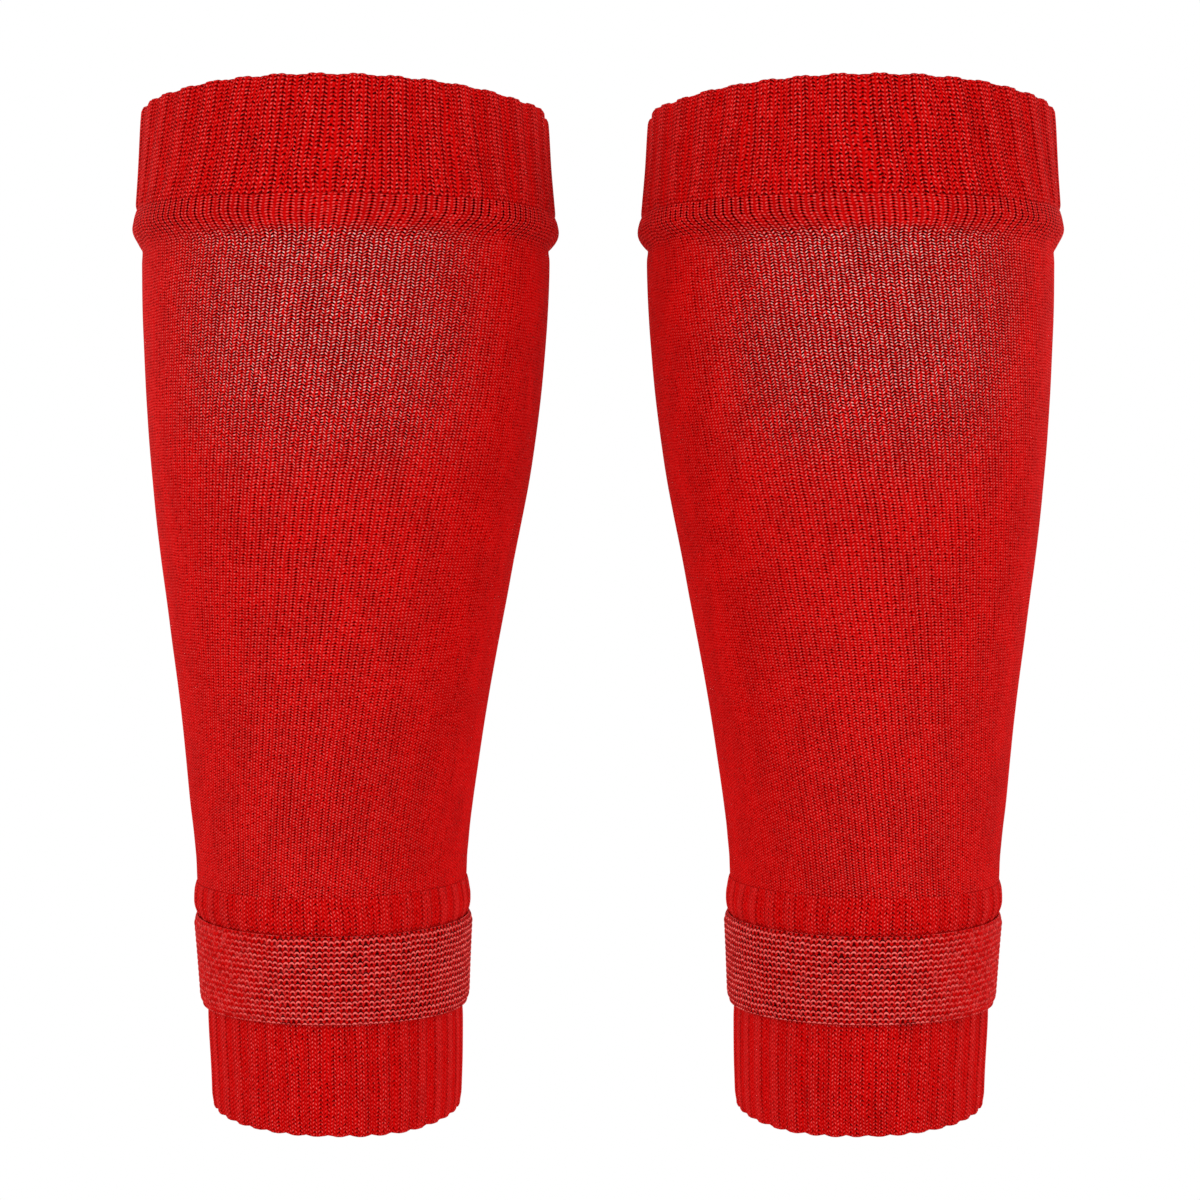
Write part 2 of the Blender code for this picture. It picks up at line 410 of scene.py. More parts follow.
# %% Rib wave
WALES = 144
WALES_PER_RIB = 4
RIBS = WALES // WALES_PER_RIB
WALE_TURN = 2 * math.pi / WALES
RIB_EDGE = 2.2
RIB_MIDDLE = 0.25
UNEVEN_EDGE = 0.5 * MM
# Columns of the grid for each wale of a cuff
CUFF_COLUMNS = 4

rib_random = np.random.default_rng(11)
rib_height = rib_random.uniform(0.75, 1.25, RIBS)
rib_drift = rib_random.uniform(-0.22, 0.22, RIBS)
rib_sway = rib_random.uniform(0.0, 2 * math.pi, RIBS)


def smooth_by_rib(values, wale):
    """A value for each rib, blended softly from one rib to the next."""
    place = wale / WALES_PER_RIB - RIB_MIDDLE
    low = np.floor(place).astype(int)
    share = ease(place - low, 0.25, 0.75)
    return values[low % RIBS] * (1 - share) + values[(low + 1) % RIBS] * share


def rib_wave(wale):
    """1 on the proud wales, 0 on the sunk ones, with a steep side between them."""
    wave = np.tanh(RIB_EDGE * np.sin(2 * math.pi * wale / WALES_PER_RIB)) / math.tanh(RIB_EDGE)
    return 0.5 + 0.5 * wave


def rib_strays(wale, share, drift, sway, waves):
    """How far each rib strays from its place, as an angle: a drift of its own, and a slow sway up the cuff."""
    swaying = np.sin(waves * share + smooth_by_rib(rib_sway, wale))
    return (drift * smooth_by_rib(rib_drift, wale) + sway * swaying) * WALE_TURN


def wale_round(wale):
    """Each wale is a rounded cord of loops: 1 at its middle, 0 at its edges."""
    return 1 - (2 * (wale - np.floor(wale)) - 1) ** 2


def open_in_front(at_sides):
    """The ribs stand open at the front and the back, and are drawn together at the sides."""
    return lambda around, share: {"openness": at_sides + (1 - at_sides) * np.cos(from_front(around)) ** 2}


# %% [markdown]
# ## The calf cuff
# The cuff is knitted twice as long as it shows and folded in half, so its rim is round. On the leg the cloth is
# stretched across the front and the back and bunched at the sides, most of all at the seam, so the ribs lean
# outwards as they go down.

# %% Sizes of the calf cuff
CALF_RIB_RISE = 0.45 * MM
CALF_WALE_ROUND = 0.22 * MM
RIM_SCALLOP = 0.35 * MM
RIM_LOOPS = 0.2 * MM
FAN = 0.085
FAN_LEFT_AT_RIM = 0.1
CALF_COURSES = 28
RIM_LIFT = 0.4 * MM
# (angle from the front in degrees, length round in degrees, lift in millimetres)
RIM_LEVELS = (
    (-77, 8, 1.2),
    (46, 11, -0.4),
    (135, 20, 0.3),
    (-130, 18, -0.3),
)
CUFF_LEAN = WALE_TURN
# Shares of the cuff's height: ribs stray above the first, the seam flattens them up to the second, and the rim
# has its scallops above the third
CALF_STRAYS_FROM = 0.15
CALF_SEAM_UP_TO = 0.07
RIM_FROM = 0.85
CALF_SEAM_FLATTENS = 0.7
CALF_OPEN_AT_SIDES = 0.45

# %% Calf cuff
def calf_cuff_place(side, around, share, depth, rise, travel):
    wale = stitch_at(around, WALES)
    angle = from_front(around) + CUFF_LEAN * (1 - share)
    strays = rib_strays(wale, share, drift=1.0, sway=0.15, waves=3.0) * ease(share, 0.0, CALF_STRAYS_FROM)
    fan = FAN * (1 - (1 - FAN_LEFT_AT_RIM) * share)
    turned = angle + fan * np.sin(2 * angle) + strays
    wave = rib_wave(wale)
    uneven = smooth_by_rib(rib_height, wale) - 1
    bottom = calf_seam(turned)
    top = SLEEVE_HEIGHT + RIM_LIFT - CALF_CUFF_WALL / 2
    for at, length, lift in RIM_LEVELS:
        top = top + lift * MM * np.exp(-((away_from(turned, at) / math.radians(length)) ** 2))
    scallop = RIM_SCALLOP * (1 - wave) * (1 + uneven) + UNEVEN_EDGE * np.abs(uneven)
    top = top - ease(share, RIM_FROM, 1.0) * (scallop - RIM_LOOPS * wale_round(wale))
    height = bottom + (top - bottom) * share
    into_seam = 1 - ease(share, 0.0, CALF_SEAM_UP_TO)
    relief = CALF_RIB_RISE * wave * (1 + uneven) + CALF_WALE_ROUND * wale_round(wale)
    relief = relief * (1 - CALF_SEAM_FLATTENS * into_seam)
    out = (1 - depth) * relief - depth * CALF_CUFF_WALL
    return oval(CALF_CUFF_SECTIONS, side, height, turned, out, rise)


calf_rows = wall_rows(
    np.linspace(0, 1, 37),
    np.linspace(0, 1, 6),
    SLEEVE_HEIGHT - CALF_CUFF_BOTTOM,
    CALF_CUFF_WALL,
    CALF_CUFF_WALL / 2,
    0.0,
)
calf_cuffs = both_sides(
    "calf_cuff_knit_",
    WALES * CUFF_COLUMNS,
    calf_rows,
    calf_cuff_place,
    WALES,
    CALF_COURSES,
    open_in_front(CALF_OPEN_AT_SIDES),
)

# %% [markdown]
# ## The leg tube
# The tube is knitted plain and tapers with the leg. It is fuller than the cuff above, so it swells out below the
# cuff and then dips into a crease, deepest at both sides. Its wales start bunched at the seam, sweep back to
# their places below the crease, and then lean slowly outwards all the way down. A cloth simulation would find
# some such fold, but not this one in this place, so the fold and the small creases round it are set from a
# table.

# %% Creases under the cuff
# (angle from the front in degrees, distance below the cuff, length round in degrees, depth, width), in millimetres
CREASES = (
    (-68, 9.6, 15, 0.55, 2.4),
    (-46, 8.2, 11, 0.40, 2.0),
    (-27, 6.6, 14, 0.25, 1.8),
    (-4, 4.6, 18, 0.22, 1.6),
    (22, 6.0, 12, 0.28, 1.8),
    (47, 8.6, 13, 0.45, 2.2),
    (71, 10.0, 14, 0.60, 2.5),
    (104, 8.8, 17, 0.50, 2.4),
    (138, 7.0, 16, 0.35, 2.0),
    (171, 8.4, 20, 0.45, 2.2),
    (-102, 9.0, 15, 0.50, 2.4),
    (-131, 7.4, 14, 0.40, 2.0),
    (-157, 9.2, 12, 0.35, 2.0),
    (-58, 17.0, 12, 0.22, 4.0),
    (55, 18.5, 12, 0.25, 4.5),
    (120, 19.0, 16, 0.25, 5.0),
    (-125, 17.5, 14, 0.22, 4.5),
    (-40, 196.0, 16, 0.25, 3.0),
    (18, 193.5, 20, 0.18, 3.0),
    (60, 195.0, 14, 0.28, 3.2),
    (125, 194.0, 18, 0.25, 3.0),
    (-110, 195.5, 16, 0.25, 3.0),
)
# The ridge above a crease: its share of the crease's depth, and how far up it lies, in widths of the crease
CREASE_RIDGE = 0.6
CREASE_RIDGE_UP = 1.7


def creased(angle, below):
    """How far the creases pull the cloth in, with a soft ridge above each."""
    pull = np.zeros_like(angle)
    for at, down, length, depth, width in CREASES:
        beside = np.exp(-((away_from(angle, at) / math.radians(length)) ** 2))
        across = (below - down * MM) / (width * MM)
        ridge = CREASE_RIDGE * np.exp(-((across + CREASE_RIDGE_UP) ** 2))
        pull -= depth * MM * beside * (np.exp(-(across**2)) - ridge)
    return pull


# %% Sizes of the leg tube
LEG_WALE_ROUND = 0.13 * MM
LEG_COURSES = 236
FAN_STARTS = 4 * MM
FAN_ENDS = 13 * MM
LEG_LEAN = 9 * WALE_TURN
SEAM_LIFT = 0.4 * MM
SEAM_LIFT_LENGTH = 3.5 * MM

# The cloth is stretched thin over the fullest part of the calf, in front and behind, and that fades downwards
PALE_FADES_FROM = 230 * MM
PALE_FADES_TO = 172 * MM
PALE_HALF_WIDTH = (0.30, 0.88)
PALE_STARTS_BELOW = (7 * MM, 12 * MM)
BUNCHED_ENDS_BELOW = (8 * MM, 14 * MM)
BUNCHED_OPENNESS = 0.62
# How open the loops stand everywhere, how much more in front and behind, and how much more where the cloth is pale
LEG_OPENNESS = (0.05, 0.55, 0.4)
# How open the bunched loops stand, and how bunched they are: (least, how much more where it is most)
BUNCHED_OPEN = (0.4, 0.6)
BUNCHED_SHARE = (0.15, 0.55)

# %% Leg tube
def leg_angle(around, share):
    """The wales lean outwards as they go down."""
    return from_front(around) + CUFF_LEAN + LEG_LEAN * (1 - share)


def leg_place(side, around, share, depth, rise, travel):
    wale = stitch_at(around, WALES)
    angle = leg_angle(around, share)
    bottom = ANKLE_CUFF_TOP + SEAM_GAP
    top = calf_seam(angle + FAN * np.sin(2 * angle)) - SEAM_GAP
    height = bottom + (top - bottom) * share
    below = top - height
    turned = angle + FAN * (1 - ease(below, FAN_STARTS, FAN_ENDS)) * np.sin(2 * angle)
    from_cuff = below * (1 - FOLD_LOWER_OUTSIDE * np.sin(turned))
    swell = along(FOLD_SWELL, from_cuff, 1) * (1 - (1 - FOLD_AT_FRONT) * facing_front(turned))
    lift = SEAM_LIFT * (1 - ease(below, 0, SEAM_LIFT_LENGTH)) * np.abs(np.cos(turned))
    relief = LEG_WALE_ROUND * wale_round(wale)
    out = swell + lift + creased(turned, below) + (1 - depth) * relief - depth * LEG_WALL
    return oval(LEG_SECTIONS, side, height, turned, out, rise)


def leg_shades(around, share):
    """How far the loops stand apart, where the cloth is stretched thin, and where the seam bunches it."""
    angle = leg_angle(around, share)
    height = ANKLE_CUFF_TOP + (calf_seam(angle) - ANKLE_CUFF_TOP) * share
    below = calf_seam(angle) - height
    facing = np.cos(angle) ** 2
    beside = 1 - ease(np.abs(np.sin(angle)), *PALE_HALF_WIDTH)
    upper = ease(height, PALE_FADES_TO, PALE_FADES_FROM) * ease(below, *PALE_STARTS_BELOW)
    everywhere, in_front, where_pale = LEG_OPENNESS
    openness = everywhere + in_front * facing + where_pale * upper * facing
    bunched = 1 - ease(below, *BUNCHED_ENDS_BELOW)
    bunched_open = BUNCHED_OPEN[0] + BUNCHED_OPEN[1] * np.abs(np.cos(angle))
    return {
        "openness": np.maximum(openness, BUNCHED_OPENNESS * bunched * bunched_open),
        "pale": beside * upper,
        "bunched": bunched * (BUNCHED_SHARE[0] + BUNCHED_SHARE[1] * np.abs(np.sin(2 * angle))),
    }


# %% Both leg tubes
# The rows lie closer above this share of the height, where the fold and its creases are
FINE_FROM = 0.9

leg_outside = np.concatenate((np.linspace(0, FINE_FROM, 96), np.linspace(FINE_FROM, 1.0, 31)[1:]))
leg_inside = np.concatenate((np.linspace(0, FINE_FROM, 16), np.linspace(FINE_FROM, 1.0, 9)[1:]))
leg_rows = wall_rows(leg_outside, leg_inside, CALF_CUFF_BOTTOM - ANKLE_CUFF_TOP, LEG_WALL, 0.0, 0.0)
leg_tubes = both_sides("leg_tube_knit_", WALES * 2, leg_rows, leg_place, WALES, LEG_COURSES, leg_shades)

# %% [markdown]
# ## The ankle cuff
# This cuff is a single rib with a scalloped hem. It flares a little at its seam with the leg tube, is drawn in
# under the strap, and hangs nearly straight below it.

# %% Sizes of the ankle cuff
ANKLE_RIB_RISE = 0.4 * MM
ANKLE_WALE_ROUND = 0.16 * MM
HEM_SCALLOP = 0.5 * MM
HEM_CURL = 0.4 * MM
HEM_DROP = 0.6 * MM
HEM_INNER_DROP = 0.4 * MM
OVER_STRAP = 0.95 * MM
ANKLE_COURSES = 58
ANKLE_OPEN_AT_SIDES = 0.1
# The ankle cuff's ribs take their unevenness from ribs further round, so that the two cuffs differ
ANKLE_WALES_ON = 12
# Shares of the cuff's height: the hem has its scallops below the first, ribs stray below the second, and the
# seam flattens them above the third
HEM_UP_TO = 0.1
ANKLE_STRAYS_UP_TO = 0.9
ANKLE_SEAM_FROM = 0.97
ANKLE_SEAM_FLATTENS = 0.6
# (angle from the front, length round) of the lower part of the hem, in degrees
HEM_DROP_AT = (-38, 22)
# How far round the strap the cuff is pressed flat, and how much of its unevenness that takes away
PRESSED_BELOW = 4 * MM
PRESSED_ABOVE = 3 * MM
PRESSED_FLAT = 0.75
# Heights above the strap between which the cuff bulges, and between which the bulge ends
BULGE_RISES = (-1.5 * MM, 1.8 * MM)
BULGE_ENDS = (3 * MM, 9 * MM)
HEM_CURL_LENGTH = 4 * MM

# %% Ankle cuff
def ankle_cuff_place(side, around, share, depth, rise, travel):
    wale = stitch_at(around, WALES)
    strays = rib_strays(wale, share, drift=0.6, sway=0.1, waves=4.0)
    angle = from_front(around) + strays * (1 - ease(share, ANKLE_STRAYS_UP_TO, 1.0))
    wave = rib_wave(wale)
    uneven = smooth_by_rib(rib_height, wale + ANKLE_WALES_ON) - 1
    notch = 1 - np.abs(np.sin(math.pi * (wale - 1) / WALES_PER_RIB + math.pi / 2))
    scallop = HEM_SCALLOP * notch * (1 + uneven) + UNEVEN_EDGE * np.abs(uneven)
    drop_at, drop_length = np.radians(HEM_DROP_AT)
    inner = np.exp(-(((angle - drop_at) / drop_length) ** 2))
    hem = HEM_LEVEL + HEM_TILT * np.sin(angle) - HEM_DROP - HEM_INNER_DROP * inner + ANKLE_CUFF_WALL / 2
    hem = hem + (1 - ease(share, 0.0, HEM_UP_TO)) * scallop
    height = hem + (ANKLE_CUFF_TOP - hem) * share
    strap_bottom, strap_top = strap_edges(angle)
    pressed = ease(height, strap_bottom - PRESSED_BELOW, strap_bottom)
    pressed = pressed * (1 - ease(height, strap_top, strap_top + PRESSED_ABOVE))
    free = 1 - PRESSED_FLAT * pressed
    above = height - strap_top
    bulge = OVER_STRAP * ease(above, *BULGE_RISES) * (1 - ease(above, *BULGE_ENDS))
    curl = HEM_CURL * (1 - ease(height - hem, 0, HEM_CURL_LENGTH))
    relief = ANKLE_RIB_RISE * wave * (1 + uneven * free) + ANKLE_WALE_ROUND * wale_round(wale) * free
    relief = relief * (1 - ANKLE_SEAM_FLATTENS * ease(share, ANKLE_SEAM_FROM, 1.0))
    out = bulge - curl + (1 - depth) * relief - depth * ANKLE_CUFF_WALL
    return oval(ANKLE_CUFF_SECTIONS, side, height, angle, out, rise)


ankle_rows = wall_rows(
    np.linspace(0, 1, 63), np.linspace(0, 1, 8), ANKLE_CUFF_TOP, ANKLE_CUFF_WALL, 0.0, ANKLE_CUFF_WALL / 2
)
ankle_cuffs = both_sides(
    "ankle_cuff_knit_",
    WALES * CUFF_COLUMNS,
    ankle_rows,
    ankle_cuff_place,
    WALES,
    ANKLE_COURSES,
    open_in_front(ANKLE_OPEN_AT_SIDES),
)

# %% [markdown]
# ## The strap
# The strap is an elastic band with its purl side out. Purl stitches make rows of small arches, like roof tiles,
# and the strap has 15 such rows. They are coarse enough to show from a step away, so the arches are real relief:
# each point of the grid is raised by its distance from the nearest arch. The same arches are drawn again in the
# strap's material, finer than the grid can hold them.

# %% Sizes of the strap
STRAP_ROWS = 15
STRAP_STITCHES = 160
STRAP_EDGE_THINNING = 0.4
STRAP_EDGE_LENGTH = 2 * MM
ARCH_RELIEF = 0.32 * MM
ARCH_TOP = 0.78
ARCH_BEND = 1.5
ARCH_THICKNESS = 0.34
# The strap's rows stand open on the inner side of the front, and their relief is least across from there
ROWS_OPEN_AT = -35
LEAST_RELIEF = 0.35

# %% Strap
def arch_relief(stitch, row):
    """1 on the yarn of a purl arch, 0 between arches. Each arch leans on the one in the row below."""
    across = stitch - np.floor(stitch) - 0.5
    up = row - np.floor(row)
    arch = ARCH_TOP - ARCH_BEND * across**2
    nearest = np.minimum(np.abs(up - arch), np.abs(up - arch + 1))
    return np.clip(1 - (nearest / ARCH_THICKNESS) ** 2, 0, 1)


def strap_shades(around, share):
    """The strap is pulled round towards the inner side, so its rows stand open there and lie close outside."""
    return {"openness": 0.5 + 0.5 * np.cos(from_front(around) - math.radians(ROWS_OPEN_AT))}


def strap_place(side, around, share, depth, rise, travel):
    angle = from_front(around)
    bottom, top = strap_edges(angle)
    bottom = bottom + STRAP_WALL / 2
    top = top - STRAP_WALL / 2
    height = bottom + (top - bottom) * share
    clear = ANKLE_RIB_RISE + STRAP_CLEAR
    relief = ARCH_RELIEF * arch_relief(stitch_at(around, STRAP_STITCHES), travel * STRAP_ROWS)
    relief = relief * (LEAST_RELIEF + (1 - LEAST_RELIEF) * strap_shades(around, share)["openness"])
    to_edge = np.minimum(share, 1 - share) * (top - bottom)
    wall = STRAP_WALL * (1 - STRAP_EDGE_THINNING * (1 - ease(to_edge, 0, STRAP_EDGE_LENGTH)))
    out = clear + (1 - depth) * (wall + relief)
    return oval(ANKLE_CUFF_SECTIONS, side, height, angle, out, rise)


strap_rows = wall_rows(
    np.linspace(0, 1, STRAP_ROWS * 5 + 1),
    np.linspace(0, 1, 4),
    STRAP_TOP - STRAP_BOTTOM,
    STRAP_WALL,
    STRAP_WALL / 2,
    STRAP_WALL / 2,
)
straps = both_sides(
    "ankle_strap_knit_", STRAP_STITCHES * 3, strap_rows, strap_place, STRAP_STITCHES, STRAP_ROWS, strap_shades
)

# %% [markdown]
# ## Drawing stitches with arithmetic
# A knit is a repeat, so its material can work out from the map where each loop of yarn is. The whole part of the
# map's numbers says which stitch, and the part after the point says where in that stitch. Math nodes turn this
# into the height of the yarn, which drives the bump, a painted highlight on the crest of each loop and painted
# shade in the hole between loops. An image of knitting would repeat and blur, and it would have to be stored.

# %% A small helper for node arithmetic
class Recipe:
    """A material whose nodes are added one by one, so that a formula can be written as a formula."""

    def __init__(self, name):
        self.material = bpy.data.materials.new(name)
        self.material.use_nodes = True
        self.tree = self.material.node_tree
        self.shader = self.tree.nodes["Principled BSDF"]

    def add(self, kind, **settings):
        """A new node, laid out in rows of twelve."""
        node = self.tree.nodes.new(kind)
        node.location = (-200 * (len(self.tree.nodes) % 12), -180 * (len(self.tree.nodes) // 12))
        for setting, value in settings.items():
            setattr(node, setting, value)
        return node

    def put(self, value, socket):
        """Links another node's output to a socket, or sets a plain value on it."""
        if isinstance(value, bpy.types.NodeSocket):
            self.tree.links.new(value, socket)
        else:
            socket.default_value = value

    def math(self, operation, *values, clamp=False):
        node = self.add("ShaderNodeMath", operation=operation, use_clamp=clamp)
        for value, socket in zip(values, node.inputs):
            self.put(value, socket)
        return node.outputs[0]

    def plus(self, first, second):
        return self.math("ADD", first, second)

    def minus(self, first, second):
        return self.math("SUBTRACT", first, second)

    def larger(self, first, second):
        return self.math("MAXIMUM", first, second)

    def whole(self, value):
        return self.math("FLOOR", value)

    def size(self, value):
        return self.math("ABSOLUTE", value)

    def times(self, *values):
        """The product of several numbers."""
        product = values[0]
        for value in values[1:]:
            product = self.math("MULTIPLY", product, value)
        return product

    def centred(self, value):
        """Runs from -1 to 1 across each whole step of a value."""
        return self.math("MULTIPLY_ADD", self.math("FRACT", value), 2.0, -1.0)

    def spread(self, value, amount):
        """Turns a number between 0 and 1 into one between minus and plus the amount."""
        return self.math("MULTIPLY_ADD", value, 2 * amount, -amount)

    def scaled(self, value, low, high):
        """Turns a number between 0 and 1 into one between low and high."""
        return self.math("MULTIPLY_ADD", value, high - low, low)

    def step(self, value, start, end, low=0.0, high=1.0):
        """A soft step from low to high as value goes from start to end."""
        node = self.add("ShaderNodeMapRange", interpolation_type="SMOOTHSTEP")
        for number, socket in zip((value, start, end, low, high), node.inputs):
            self.put(number, socket)
        return node.outputs[0]

    def mix(self, share, first, second):
        """The first colour where share is 0, and the second where it is 1 or more."""
        node = self.add("ShaderNodeMix", data_type="RGBA")
        self.put(share, node.inputs["Factor"])
        colours = [socket for socket in node.inputs if socket.type == "RGBA"]
        self.put(first, colours[0])
        self.put(second, colours[1])
        return next(socket for socket in node.outputs if socket.type == "RGBA")


# %% A recipe for cloth
CLOTH_SPECULAR = 0.015
WANDER_SCALE = 110.0
FIBRE_GRAIN = (1500.0, 1500.0, 1500.0)
FIBRE_SHADE = (0.22, 0.0, 0.0, 1)
FIBRE_SHADE_SHARE = 0.15
FIBRE_LIGHT = (1.0, 0.1, 0.09, 1)
FIBRE_LIGHT_SHARE = 0.06
# How far the middle of a spot stays at full strength, as a share of its radius squared
SPOT_CORE = 0.15


class Cloth(Recipe):
    """A recipe that knows the stitch map, the shades and the fibres of a knitted piece."""

    def attribute(self, name):
        return self.add("ShaderNodeAttribute", attribute_name=name).outputs["Fac"]

    def parts(self, vector):
        """The three numbers of a vector or a colour."""
        node = self.add("ShaderNodeSeparateXYZ")
        self.put(vector, node.inputs[0])
        return node.outputs

    def noise(self, stretch, scale=1.0, detail=2.0):
        """Soft random patches in the cloth's own place, as a number and as three numbers."""
        where = self.add("ShaderNodeTexCoord").outputs["Object"]
        grow = self.add("ShaderNodeVectorMath", operation="MULTIPLY")
        self.put(where, grow.inputs[0])
        self.put(stretch, grow.inputs[1])
        node = self.add("ShaderNodeTexNoise")
        self.put(grow.outputs[0], node.inputs["Vector"])
        self.put(scale, node.inputs["Scale"])
        self.put(detail, node.inputs["Detail"])
        return node.outputs["Fac"], self.parts(node.outputs["Color"])

    def chance(self, x, y):
        """Three random numbers for each whole x and y."""
        pair = self.add("ShaderNodeCombineXYZ")
        self.put(x, pair.inputs[0])
        self.put(y, pair.inputs[1])
        node = self.add("ShaderNodeTexWhiteNoise", noise_dimensions="2D")
        self.put(pair.outputs[0], node.inputs["Vector"])
        return self.parts(node.outputs["Color"])

    def spot(self, across, up, half_width, half_height):
        """1 at the middle of an oval spot, falling to 0 at its edge."""
        wide = self.math("DIVIDE", across, half_width)
        tall = self.math("DIVIDE", up, half_height)
        return self.step(self.plus(self.times(wide, wide), self.times(tall, tall)), 1.0, SPOT_CORE)

    def stitch_map(self, around, wander_across, wander_up):
        """The wale and the course of each point, from the piece's own map. They wander as real loops do."""
        where = self.parts(self.add("ShaderNodeUVMap", uv_map="knit").outputs[0])
        wander = self.noise((1, 1, 1), WANDER_SCALE)[1]
        wale = self.plus(where[0], self.spread(wander[0], wander_across))
        course = self.plus(where[1], self.spread(wander[1], wander_up))
        return self.math("FLOORED_MODULO", wale, around), course

    def grained(self, colour):
        """The yarn's own fibres: fine light and dark grain, about as coarse as one strand."""
        grain = self.noise(FIBRE_GRAIN, detail=1.0)[0]
        darker = self.mix(self.step(grain, 0.52, 0.3, 0.0, FIBRE_SHADE_SHARE), colour, FIBRE_SHADE)
        return self.mix(self.step(grain, 0.52, 0.72, 0.0, FIBRE_LIGHT_SHARE), darker, FIBRE_LIGHT)

    def finish(self, colour, height, depth, strength, roughness):
        """Wires the colour and the bump into the shader. Even values are set on its own sockets."""
        bump = self.add("ShaderNodeBump")
        self.put(height, bump.inputs["Height"])
        self.put(depth, bump.inputs["Distance"])
        self.put(strength, bump.inputs["Strength"])
        self.put(bump.outputs[0], self.shader.inputs["Normal"])
        self.put(colour, self.shader.inputs["Base Color"])
        self.put(roughness, self.shader.inputs["Roughness"])
        self.put(CLOTH_SPECULAR, self.shader.inputs["Specular IOR Level"])
        return self.material


# %% The face of a knit stitch
# Sizes are counted in half widths of a leg of the V across, and in half courses up
LEGS_PER_WALE = 2.0
LOOP_SHIFT = 0.2
PINHOLE_SIZE = (0.72, 0.75)
SLOT_SIZE = (0.68, 0.68)
SLOT_SHIFT = 0.35
YARN_ROUND = 0.75


class KnitFace:
    """Each stitch is a V of two legs, so a wale is two columns of slanted loops, and each loop has its own chance.

    slant is how many courses a leg of the V climbs, and skew how many more both legs climb the same way. stagger
    is how many courses one leg lies above the other. dot is the half width and half height of a loop's crest, and
    aside how far it strays. line draws the pinholes out along the wale, and in_v is how dark they are inside the V.
    It holds loop and gap (chances), dot (a loop's crest, where a painted highlight goes), pinhole (a gap between
    loops, where painted shade goes), slot (the painted shade between two loops of a column) and yarn.
    """

    def __init__(self, cloth, wale, course, slant, skew, stagger, dot, aside, line, in_v):
        half = cloth.times(wale, LEGS_PER_WALE)
        from_middle = cloth.size(cloth.centred(wale))
        level = cloth.minus(course, cloth.times(from_middle, slant))
        right_leg = cloth.math("FLOORED_MODULO", cloth.whole(half), LEGS_PER_WALE)
        across = cloth.centred(half)
        climb = cloth.minus(cloth.plus(level, cloth.times(right_leg, stagger)), cloth.times(across, 0.5, skew))
        up = cloth.centred(climb)
        self.loop = cloth.chance(cloth.whole(half), cloth.whole(climb))
        self.gap = cloth.chance(cloth.math("ROUND", half), cloth.math("ROUND", level))

        strayed = cloth.plus(across, cloth.times(cloth.spread(self.loop[2], 1.0), aside))
        self.dot = cloth.spot(strayed, cloth.plus(up, cloth.spread(self.loop[1], LOOP_SHIFT)), *dot)

        from_column_edge = cloth.minus(1.0, cloth.size(across))
        from_row_edge = cloth.times(cloth.minus(1.0, cloth.size(cloth.centred(level))), cloth.minus(1.0, line))
        pinhole = cloth.spot(from_column_edge, from_row_edge, *PINHOLE_SIZE)
        self.pinhole = cloth.times(pinhole, cloth.step(from_middle, 0.3, 0.7, in_v, 1.0))

        shifted = cloth.plus(across, cloth.spread(self.gap[1], SLOT_SHIFT))
        self.slot = cloth.spot(shifted, cloth.minus(1.0, cloth.size(up)), *SLOT_SIZE)
        rounded = cloth.minus(1.0, cloth.times(across, across, YARN_ROUND))
        self.yarn = cloth.times(rounded, cloth.minus(1.0, cloth.times(up, up)))


# %% [markdown]
# ## The knits
# All the pieces are knitted from the same scarlet yarn. What changes is how the loops lie: close and even at the
# sides, open at the front, and stretched so thin over the full of the calf that the cloth turns pale. There each
# loop catches the light as a whitish dot, a painted highlight, beside a dark hole of painted shade, and the legs
# of the stitches slant more, so that the dots make a zigzag. Elsewhere the crests of the loops get a red painted
# highlight and the gaps between them painted shade. The numbers of each knit come in pairs that say how one
# thing changes with another, so that a pair can be tuned without touching the formula.

# %% Colours of the yarn, and of its painted highlights and painted shade
SCARLET = (0.70, 0.0012, 0.0012, 1)
SCARLET_DEEP = (0.60, 0.001, 0.001, 1)
# Painted shade between the loops of a column and in the grooves beside the ribs
SHADE_BETWEEN_LOOPS = (0.20, 0.0002, 0.0002, 1)
# Painted highlights on the crests of the loops: red on plain cloth, whitish where the cloth is stretched pale
CREST_HIGHLIGHT = (1.0, 0.14, 0.13, 1)
PALE_CREST_HIGHLIGHT = (1.0, 0.60, 0.56, 1)
# Painted shade in the pinholes and slots between loops and in the strap's shadow lines: the gaps are real, their
# darkness is painted shade
HOLE_SHADE = (0.001, 0.0, 0.0, 1)
# Painted highlight on the crests of the strap's purl arches
STRAP_CREST_HIGHLIGHT = (1.0, 0.165, 0.15, 1)

PATCHES = (120, 120, 60)
HOLE_SOFTNESS = (-0.05, 0.1)
KNIT_ROUGHNESS = 0.85
KNIT_BUMP = 0.8

# %% Numbers of the leg's knit
# How far loops wander, in wales and in courses, and how long the streaks of pinholes are
LEG_WANDER = (0.2, 0.9)
LEG_STREAKS = (150, 150, 40)
LEG_BUMP_DEPTH = 0.3 * MM
# (from this course up, to this course, value before, value after)
STAGGER_ENDS = (30.0, 100.0, 0.5, 0.0)
SKEW_GROWS = (90.0, 150.0, 0.2, 0.45)
SKEW_ENDS = (170.0, 215.0, 1.0, 0.2)
# (in plain cloth, in pale cloth)
SLANT = (0.4, 0.72)
DOT_WIDTH = (0.6, 0.66)
DOT_HEIGHT = (0.62, 0.56)
DOT_ASIDE = (0.15, 0.25)
IN_V = (0.2, 0.75)
PINHOLES_PALE = (1.0, 0.8)
# (where the loops lie close, where they stand open)
SLOT_SHADE = (0.1, 0.9)
DOT_BRIGHT = (0.05, 1.1)
PINHOLES_OFTEN = (0.3, 0.95)
PINHOLES_DARK = (0.45, 1.3)
# (for the weakest loop, for the strongest loop)
DOT_CHANCE = (0.35, 1.05)
PALE_CHANCE = (0.4, 1.0)
SLOT_CHANCE = (0.4, 1.4)

